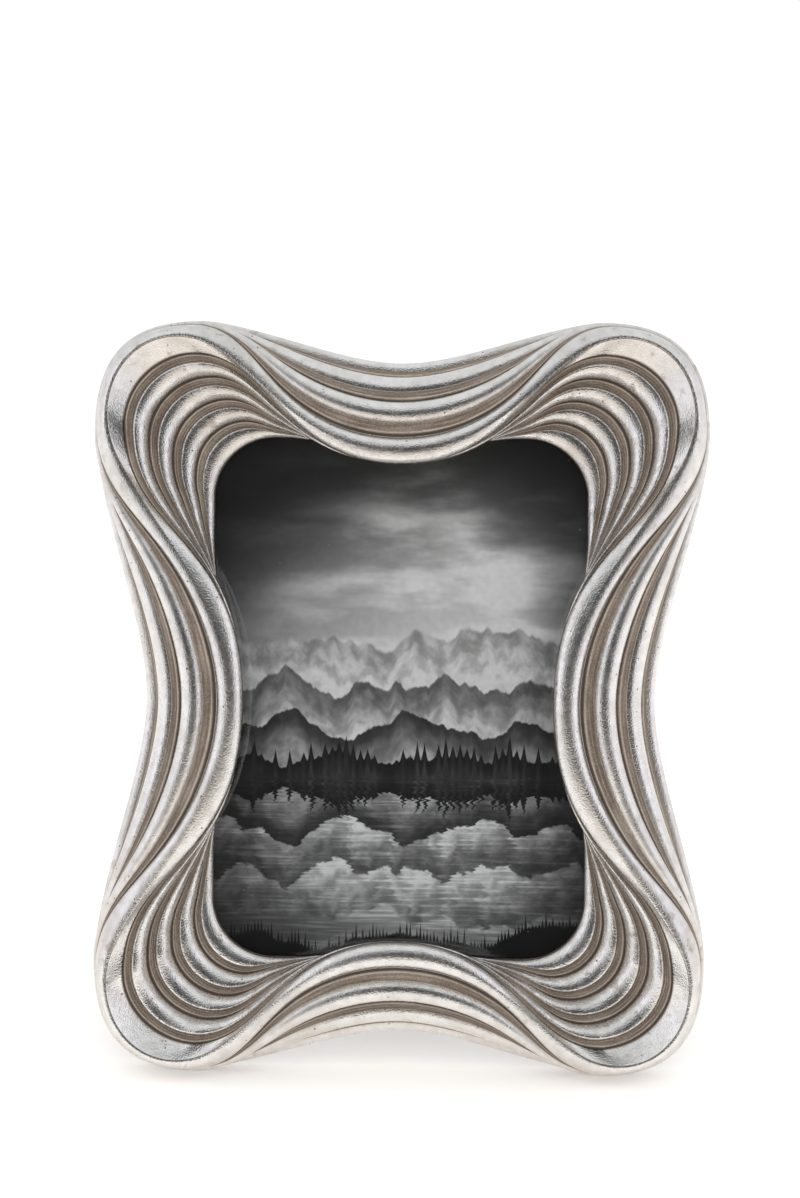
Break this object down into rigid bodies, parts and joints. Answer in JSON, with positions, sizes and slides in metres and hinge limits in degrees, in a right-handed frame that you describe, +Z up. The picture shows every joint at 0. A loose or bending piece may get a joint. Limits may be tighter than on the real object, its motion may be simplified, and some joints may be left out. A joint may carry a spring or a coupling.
{
  "type": "photo frame",
  "caption": "Standing resin photo frame of twisting fluted moulding in silver leaf, with a glass pane, a backing board on turn buttons, a folding easel leg and a hanger ring.",
  "frame": {"origin": "on the floor under the middle of the bounding box, with the frame standing on its leg", "axes": "+Z up, +X to the right seen from the front, +Y to the back where the leg stands, the picture faces -Y and leans back by 12 degrees"},
  "size_m": [0.198, 0.0894, 0.2385],
  "materials": {
    "silver_leaf": "cast resin under silver leaf, brown wash in the grooves",
    "pane_glass": "clear polished pane",
    "print_paper": "satin black and white print",
    "mdf": "raw pressed board",
    "felt": "black flock",
    "steel": "bright zinc plate"
  },
  "bodies": {
    "frame": {"frame_moulding": "silver_leaf", "glass_pane": "pane_glass", "photo_print": "print_paper", "backing_board": "mdf", "backing_felt": "felt", "turn_screw_1": "steel", "turn_screw_2": "steel", "turn_screw_3": "steel", "turn_screw_4": "steel", "hinge_leaf_back": "steel", "hinge_rivet_1": "steel", "hinge_rivet_2": "steel", "hanger_strap": "steel", "hanger_rivet_1": "steel", "hanger_rivet_2": "steel"},
    "leg": {"hinge_pin": "steel", "hinge_leaf_leg": "steel", "leg_board": "mdf", "leg_felt": "felt", "hinge_rivet_3": "steel", "hinge_rivet_4": "steel"},
    "button_1": {"turn_button_1": "steel"},
    "button_2": {"turn_button_2": "steel"},
    "button_3": {"turn_button_3": "steel"},
    "button_4": {"turn_button_4": "steel"},
    "ring": {"hanger_ring": "steel"}
  },
  "joints": [
    {"name": "leg_fold", "type": "hinge", "parent": "frame", "child": "leg", "pos_m": [0, 0.01065, 0.15486], "axis": [1, 0, 0], "range_deg": [-24, 0]},
    {"name": "button_1_turn", "type": "hinge", "parent": "frame", "child": "button_1", "pos_m": [0.0701, 0.00991, 0.1591], "axis": [0, 0.9781, -0.2079], "continuous": true},
    {"name": "button_2_turn", "type": "hinge", "parent": "frame", "child": "button_2", "pos_m": [-0.0701, 0.00991, 0.1591], "axis": [0, 0.9781, -0.2079], "continuous": true},
    {"name": "button_3_turn", "type": "hinge", "parent": "frame", "child": "button_3", "pos_m": [-0.0701, -0.00755, 0.07694], "axis": [0, 0.9781, -0.2079], "continuous": true},
    {"name": "button_4_turn", "type": "hinge", "parent": "frame", "child": "button_4", "pos_m": [0.0701, -0.00755, 0.07694], "axis": [0, 0.9781, -0.2079], "continuous": true},
    {"name": "ring_swing", "type": "hinge", "parent": "frame", "child": "ring", "pos_m": [0, 0.01959, 0.19692], "axis": [1, 0, 0], "range_deg": [-9, 165]}
  ]
}
